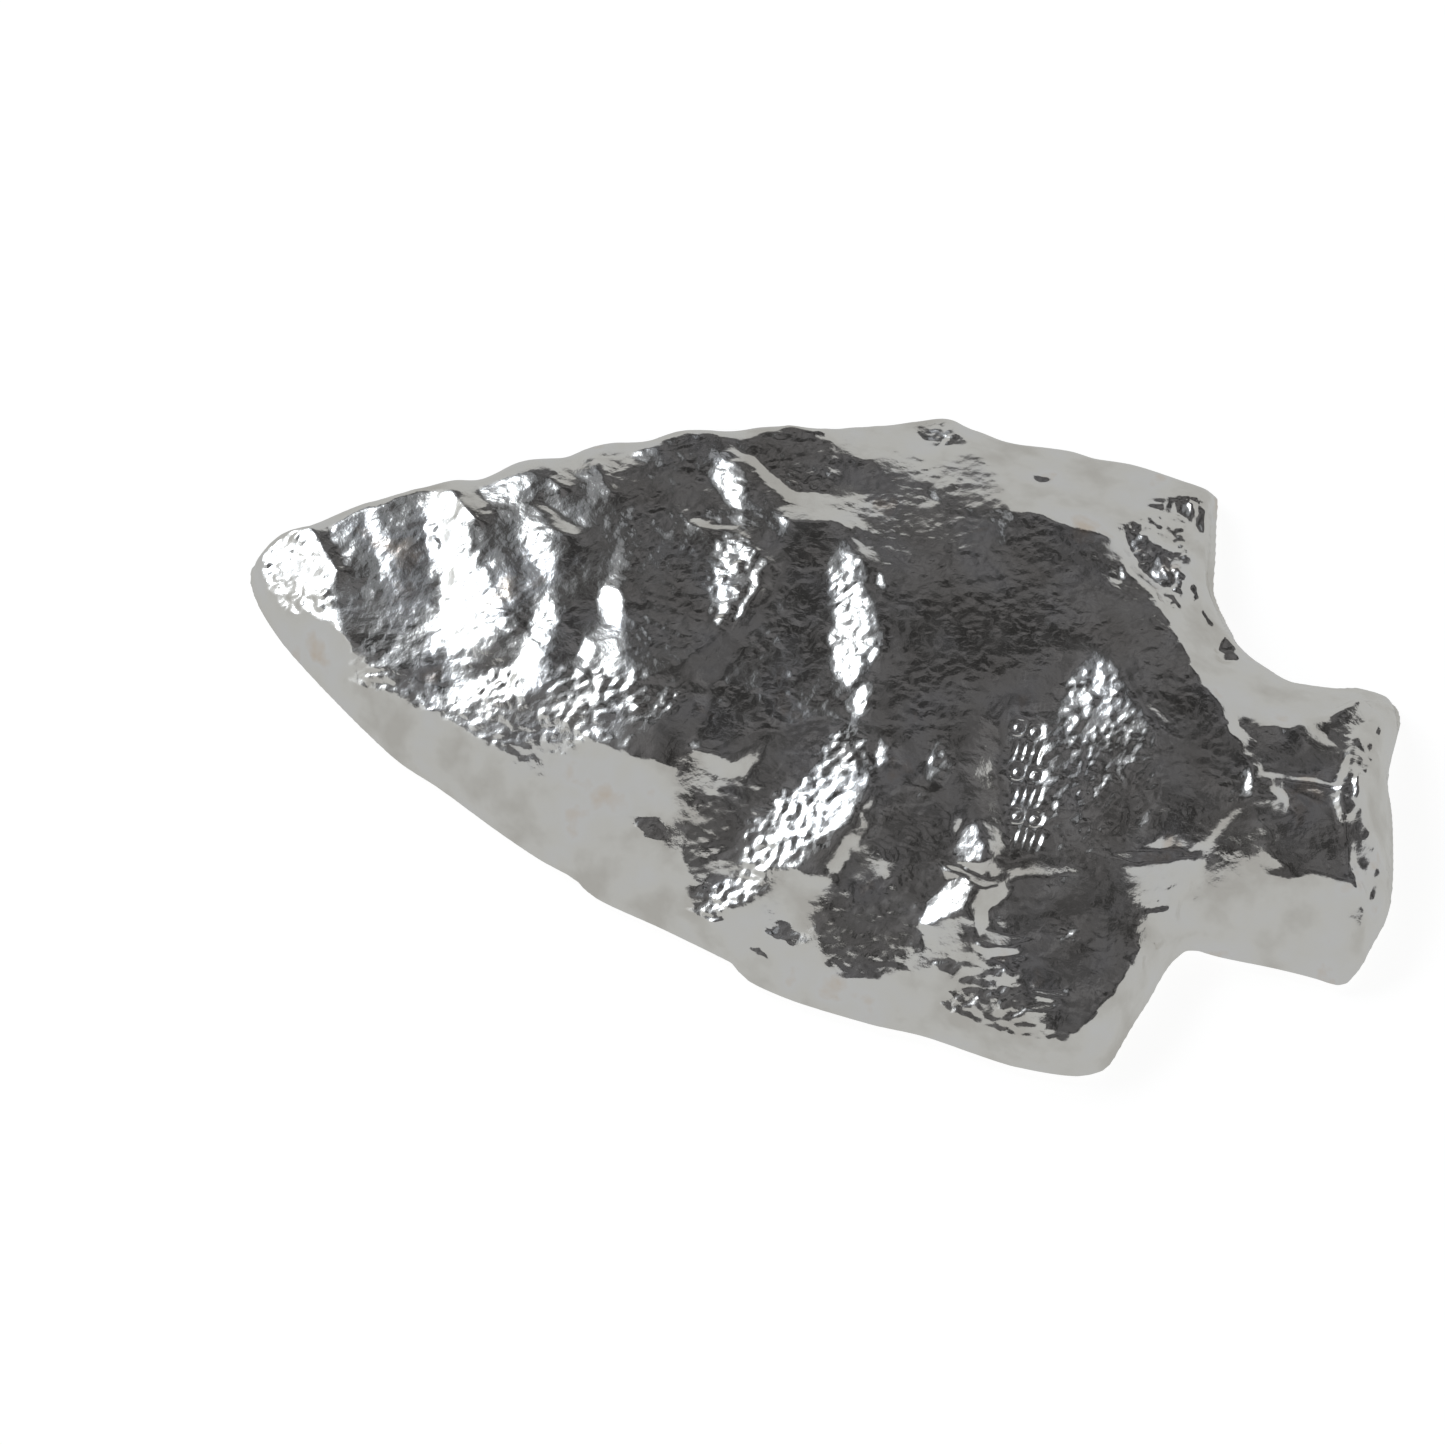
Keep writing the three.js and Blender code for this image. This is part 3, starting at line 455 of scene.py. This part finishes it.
def within(points, x, y):
    """Tells which of the samples at (x, y) lie inside a closed outline."""
    result = np.zeros(x.shape, dtype=bool)
    for (ax, ay), (bx, by) in zip(points, points[1:] + points[:1]):
        if ay != by:
            crossed = (ay > y) != (by > y)
            result ^= crossed & (x < ax + (y - ay) * (bx - ax) / (by - ay))
    return result


def rise(field):
    """Slopes from each sample to the next along both axes."""
    return (np.roll(field, -1, axis=0) - field) / STEP, (np.roll(field, -1, axis=1) - field) / STEP


def fall(run_x, run_y):
    """The opposite of the slopes' divergence."""
    along = run_x - np.roll(run_x, 1, axis=0)
    across = run_y - np.roll(run_y, 1, axis=1)
    return -(along + across) / STEP


def settle(run_x, run_y, grip, hold, rounds=160):
    """The relief whose slopes come nearest to (run_x, run_y), weighted by `grip`, while `hold`,
    in 1/mm2, keeps it near 0. By conjugate gradients."""
    waves = [2 - 2 * np.cos(2 * math.pi * np.fft.fftfreq(n)) for n in X.shape]
    stiff = (waves[0][:, None] + waves[1][None, :]) / STEP**2 + 1

    def eased(field):
        return np.fft.ifft2(np.fft.fft2(field) / stiff).real

    relief = np.zeros(X.shape)
    rest = fall(grip * run_x, grip * run_y)
    step = eased(rest)
    size = (rest * step).sum()
    for _ in range(rounds):
        push = fall(*(grip * slopes for slopes in rise(step))) + hold * step
        share = size / (step * push).sum()
        relief = relief + share * step
        rest = rest - share * push
        next_step = eased(rest)
        next_size = (rest * next_step).sum()
        step = next_step + next_size / size * step
        size = next_size
    return relief


TOP = high_corner[2] / MM - 0.12  # mm, the height of the crown before the skin is added
CROWN_LIFT = 0.85  # mm, more than the level facets take away again
CROWN_BLUR = 1.3  # mm
HOLD_INSIDE = 0.08  # 1/mm2, how firmly the face is held to its former height
HOLD_RIM = 30.0  # 1/mm2, and the same at the outline
GRIP_EDGE = 0.12  # how little the slopes count next to the outline, where the rim may be steep
GRIP_FACET = 3.0  # how much more they count in a facet
GRIP_SMALL = 20.0  # and how much more again in the smallest ones
JAG = 0.12  # mm, how ragged the facets' outlines are
SKIN_LEAST = 0.12  # roughness of the skin where no facet sets it
SKIN_MORE = 0.2  # and how much rougher its roughest patches are

face = face + CROWN_LIFT * ramp(blur(inside.astype(float), CROWN_BLUR), 0.5, 1.0)
old_x, old_y = rise(face)
run_x, run_y = old_x, old_y
grip = np.ones(X.shape)
skin = SKIN_LEAST + SKIN_MORE * ramp(grain(7, 1.2, 0.9, 0), 0.0, 1.6)
ragged_x = X + JAG * grain(21, 0.3, 0.1, 8)
ragged_y = Y + 0.5 * JAG * grain(22, 0.3, 0.1, 8)
for (heading, slope), soft, rough, points in FACETS:
    window = blur(within(points, ragged_x, ragged_y).astype(float), soft)
    area = window.sum() * STEP**2
    grip = grip + window * (GRIP_FACET + GRIP_SMALL / (1 + area) - grip)
    fall_x = math.cos(math.radians(heading)) * math.tan(math.radians(slope))
    fall_y = math.sin(math.radians(heading)) * math.tan(math.radians(slope))
    run_x = run_x - window * (fall_x + run_x)
    run_y = run_y - window * (fall_y + run_y)
    skin = skin + window * (rough - skin)
inner = ramp(blur(inside.astype(float), 0.12), 0.55, 0.98)
hold = HOLD_RIM + inner * (HOLD_INSIDE - HOLD_RIM)
grip = GRIP_EDGE + core * (grip - GRIP_EDGE)
face = face + settle(run_x - old_x, run_y - old_y, grip, hold)
face = face + core * (TOP - face.max())

# Raised lines on the stem.
LINE_HEIGHT = 0.13  # mm
LONG_LINE = [(18.4, -0.5), (20.0, -0.2), (21.2, -0.2), (21.8, -1.7), (22.4, -3.0), (23.0, -3.9)]
SHORT_LINE = [(21.2, 0.0), (21.2, 0.9), (21.1, 2.6), (21.5, 4.3)]
ridge(LONG_LINE, LINE_HEIGHT, 0.28)
ridge(SHORT_LINE, LINE_HEIGHT, 0.26)

# A column of plain maker's punches, pairs of rings and sets of bars, in place of lettering.
PUNCHES = 6
PUNCH_START = (8.4, -0.9)
PUNCH_PITCH = (0.26, -0.95)
PUNCH_DEPTH = 0.1
BAR_PLACES = (-0.48, -0.16, 0.16, 0.48)
BAR_SIZE = (0.1, 0.36)
RING_PLACES = (-0.36, 0.36)
RING_RADIUS = 0.24
RING_LINE = 0.11
for k in range(PUNCHES):
    x = PUNCH_START[0] + k * PUNCH_PITCH[0]
    y = PUNCH_START[1] + k * PUNCH_PITCH[1]
    if k % 2:
        for shift in BAR_PLACES:
            bump(x + shift, y, *BAR_SIZE, -PUNCH_DEPTH)
    else:
        for shift in RING_PLACES:
            radius = np.hypot(X - x - shift, Y - y)
            face = face - PUNCH_DEPTH * np.exp(-(((radius - RING_RADIUS) / RING_LINE) ** 2))

# The relief left by the pour and the polishing wheel: gentle ripples all over, and in places a
# rough skin of small rounded cells.
RIPPLE = 0.005  # mm
CELLS = 0.024  # mm, on a skin of roughness 1
cells = np.abs(grain(3, 0.15, 0.12, 10)) + 0.6 * np.abs(grain(4, 0.09, 0.09, 0))
edge = ramp(blur(inside.astype(float), 0.15), 0.5, 0.95)
face = face + edge * (RIPPLE * grain(1, 0.2, 0.16, 20) + CELLS * skin * cells)
face = np.clip(face, RIM, high_corner[2] / MM)


# ---- Fine mesh ---------------------------------------------------------------------------------

SMOOTH_ROUNDS = 6
FACE_FROM = RIM + 0.1  # mm, the height from which a vertex starts to follow the height field
FACE_WHOLLY = RIM + 0.35  # mm, the height from which it follows it wholly

def fine_copy():
    """A dense, evenly meshed copy of the CAD solid with the relief on its face."""
    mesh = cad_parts[NODE].data.copy()
    piece = bpy.data.objects.new("arrowhead_casting", mesh)
    bpy.context.scene.collection.objects.link(piece)
    remesh = piece.modifiers.new("remesh", "REMESH")
    remesh.mode = "VOXEL"
    remesh.voxel_size = VOXEL * MM
    smooth = piece.modifiers.new("smooth", "SMOOTH")
    smooth.factor = 0.5
    smooth.iterations = SMOOTH_ROUNDS
    shape = piece.evaluated_get(bpy.context.evaluated_depsgraph_get())
    piece.data = bpy.data.meshes.new_from_object(shape)
    piece.modifiers.clear()

    count = len(piece.data.vertices)
    co = np.empty(count * 3)
    piece.data.vertices.foreach_get("co", co)
    co = co.reshape(count, 3) / MM
    on_face = ramp(co[:, 2], FACE_FROM, FACE_WHOLLY)
    co[:, 2] += on_face * (sample(face, co[:, 0], co[:, 1]) - co[:, 2])
    piece.data.vertices.foreach_set("co", (co * MM).ravel())
    piece.data.polygons.foreach_set("use_smooth", [True] * len(piece.data.polygons))
    piece.data.update()
    return piece


casting = fine_copy()


# ---- Silver ------------------------------------------------------------------------------------


def silver_material():
    material = bpy.data.materials.new("polished_silver")
    material.use_nodes = True
    nodes, links = material.node_tree.nodes, material.node_tree.links
    shader = nodes["Principled BSDF"]
    shader.inputs["Metallic"].default_value = 1.0

    place = nodes.new("ShaderNodeTexCoord")

    def noise(scale, detail, rough=0.5):
        node = nodes.new("ShaderNodeTexNoise")
        node.inputs["Scale"].default_value = scale
        node.inputs["Detail"].default_value = detail
        node.inputs["Roughness"].default_value = rough
        links.new(place.outputs["Object"], node.inputs["Vector"])
        return node.outputs["Fac"]

    def colour_ramp(source, stops):
        node = nodes.new("ShaderNodeValToRGB")
        elements = node.color_ramp.elements
        while len(elements) < len(stops):
            elements.new(0.5)
        for element, (position, colour) in zip(elements, stops):
            element.position = position
            element.color = (*colour, 1)
        links.new(source, node.inputs[0])
        return node.outputs[0]

    def map_range(source, low, high):
        node = nodes.new("ShaderNodeMapRange")
        node.inputs["From Min"].default_value = 0.3
        node.inputs["From Max"].default_value = 0.7
        node.inputs["To Min"].default_value = low
        node.inputs["To Max"].default_value = high
        links.new(source, node.inputs["Value"])
        return node.outputs["Result"]

    # The silver's colour varies at random in tone; its warm brownish patches are painted
    # reflections of warm things near it.
    tone_and_painted_reflection = colour_ramp(
        noise(420, 4),
        [
            (0.34, (0.79, 0.77, 0.74)),
            (0.5, (0.92, 0.91, 0.89)),
            (0.64, (0.93, 0.93, 0.94)),
            (0.75, (0.88, 0.79, 0.71)),
        ],
    )
    links.new(tone_and_painted_reflection, shader.inputs["Base Color"])
    links.new(map_range(noise(900, 4), 0.09, 0.2), shader.inputs["Roughness"])

    fine = nodes.new("ShaderNodeBump")
    fine.inputs["Strength"].default_value = 0.3
    fine.inputs["Distance"].default_value = 0.00005
    links.new(noise(3800, 3), fine.inputs["Height"])
    links.new(fine.outputs["Normal"], shader.inputs["Normal"])
    return material


casting.data.materials.clear()
casting.data.materials.append(silver_material())
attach(casting, BODY)
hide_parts(NODE)


# ---- Table, light and camera -------------------------------------------------------------------

TABLE_HALF = 1.0  # m
TABLE_DROP = 0.02  # mm, how far the table lies below the casting's back
LAMP_DISTANCE = 0.6  # m
CEILING_AXIS = (105.8, 69.25)  # degrees, azimuth and elevation of the ceiling's middle
LENS = 900  # mm, long enough for an almost parallel view
SENSOR = 36  # mm

def table_material():
    """White to the eye, light grey in the silver's reflections."""
    material = bpy.data.materials.new("table_white")
    material.use_nodes = True
    nodes, links = material.node_tree.nodes, material.node_tree.links
    nodes.clear()
    out = nodes.new("ShaderNodeOutputMaterial")
    path = nodes.new("ShaderNodeLightPath")
    mix = nodes.new("ShaderNodeMixShader")
    matt = nodes.new("ShaderNodeBsdfDiffuse")
    glow = nodes.new("ShaderNodeEmission")
    both = nodes.new("ShaderNodeAddShader")
    grey = nodes.new("ShaderNodeEmission")
    matt.inputs["Color"].default_value = (0.3, 0.3, 0.3, 1)
    glow.inputs["Color"].default_value = (1, 1, 1, 1)
    glow.inputs["Strength"].default_value = 0.88
    grey.inputs["Color"].default_value = PALE
    links.new(path.outputs["Is Camera Ray"], mix.inputs[0])
    links.new(grey.outputs[0], mix.inputs[1])
    links.new(matt.outputs[0], both.inputs[0])
    links.new(glow.outputs[0], both.inputs[1])
    links.new(both.outputs[0], mix.inputs[2])
    links.new(mix.outputs[0], out.inputs["Surface"])
    return material


def make_table(half_size):
    mesh = bpy.data.meshes.new("table")
    corners = [(-1, -1, 0), (1, -1, 0), (1, 1, 0), (-1, 1, 0)]
    mesh.from_pydata([Vector(c) * half_size for c in corners], [], [(0, 1, 2, 3)])
    table = bpy.data.objects.new("table", mesh)
    table.location.z = -TABLE_DROP * MM
    mesh.materials.append(table_material())
    bpy.context.scene.collection.objects.link(table)


def direction(azimuth, elevation):
    """A unit vector; azimuth is counted from +X towards +Y."""
    a, e = math.radians(azimuth), math.radians(elevation)
    return Vector((math.cos(e) * math.cos(a), math.cos(e) * math.sin(a), math.sin(e)))


def make_lamp(name, azimuth, elevation, size, power):
    toward = direction(azimuth, elevation)
    light = bpy.data.lights.new(name, "AREA")
    light.shape = "DISK"
    light.size = size
    light.energy = power
    light.color = (0.9, 0.95, 1.0)
    lamp = bpy.data.objects.new(name, light)
    lamp.location = toward * LAMP_DISTANCE
    lamp.rotation_euler = (-toward).to_track_quat("-Z", "Y").to_euler()
    bpy.context.scene.collection.objects.link(lamp)


def make_world():
    """A pale room below a dark, uneven, round ceiling whose middle is off to one side."""
    world = bpy.data.worlds.new("room")
    bpy.context.scene.world = world
    world.use_nodes = True
    nodes, links = world.node_tree.nodes, world.node_tree.links
    sky = nodes["Background"]
    place = nodes.new("ShaderNodeTexCoord")
    dot = nodes.new("ShaderNodeVectorMath")
    dot.operation = "DOT_PRODUCT"
    dot.inputs[1].default_value = direction(*CEILING_AXIS)
    shade = nodes.new("ShaderNodeValToRGB")
    walls, ceiling = shade.color_ramp.elements
    walls.position, walls.color = 0.712, PALE
    ceiling.position, ceiling.color = 0.732, (0.055, 0.054, 0.053, 1)
    uneven = nodes.new("ShaderNodeTexNoise")
    uneven.inputs["Scale"].default_value = 4.5
    uneven.inputs["Detail"].default_value = 5
    panels = nodes.new("ShaderNodeValToRGB")
    dim, lit = panels.color_ramp.elements
    dim.position, dim.color = 0.36, (0.4, 0.4, 0.4, 1)
    lit.position, lit.color = 0.66, (2.6, 2.6, 2.7, 1)
    tone = nodes.new("ShaderNodeMix")
    tone.data_type = "RGBA"
    tone.blend_type = "MULTIPLY"
    tone.inputs["Factor"].default_value = 1.0
    below = nodes.new("ShaderNodeMix")
    below.data_type = "RGBA"
    links.new(place.outputs["Generated"], dot.inputs[0])
    links.new(place.outputs["Generated"], uneven.inputs["Vector"])
    links.new(uneven.outputs["Fac"], panels.inputs[0])
    links.new(dot.outputs["Value"], shade.inputs[0])
    links.new(shade.outputs[0], tone.inputs["A"])
    links.new(panels.outputs[0], tone.inputs["B"])
    links.new(tone.outputs["Result"], below.inputs["B"])
    links.new(shade.outputs[0], below.inputs["A"])
    overhead = nodes.new("ShaderNodeMapRange")
    overhead.inputs["From Min"].default_value = 0.70
    overhead.inputs["From Max"].default_value = 0.75
    links.new(dot.outputs["Value"], overhead.inputs["Value"])
    links.new(overhead.outputs["Result"], below.inputs["Factor"])
    links.new(below.outputs["Result"], sky.inputs["Color"])


def make_camera(azimuth, elevation, target, width):
    """Looks at target, with `width` mm in view. Azimuth turns it from -Y towards +X."""
    a, e = math.radians(azimuth), math.radians(elevation)
    back = Vector((math.sin(a) * math.cos(e), -math.cos(a) * math.cos(e), math.sin(e)))
    right = Vector((math.cos(a), math.sin(a), 0))
    up = back.cross(right)
    lens = bpy.data.cameras.new("camera")
    lens.lens = LENS
    lens.sensor_width = SENSOR
    lens.clip_start = 0.05
    camera = bpy.data.objects.new("camera", lens)
    place = Vector(target) * MM + back * (width * MM * LENS / SENSOR)
    turn = Matrix((right, up, back)).transposed().to_4x4()
    camera.matrix_world = Matrix.Translation(place) @ turn
    bpy.context.scene.collection.objects.link(camera)
    bpy.context.scene.camera = camera


make_table(TABLE_HALF)
# Two round lamps, each in the middle of softer and dimmer ones.
for name, azimuth, elevation in (("key", 145, 43), ("fill", 172, 44)):
    make_lamp(name, azimuth, elevation, 0.16, 0.28)
    make_lamp(name + "_soft", azimuth, elevation, 0.26, 0.14)
    make_lamp(name + "_wide", azimuth, elevation, 0.46, 0.09)
make_world()
make_camera(15.8, 60, (-3.92, -1.92, 0.45), 57.8)
bpy.context.scene.view_settings.view_transform = "Standard"
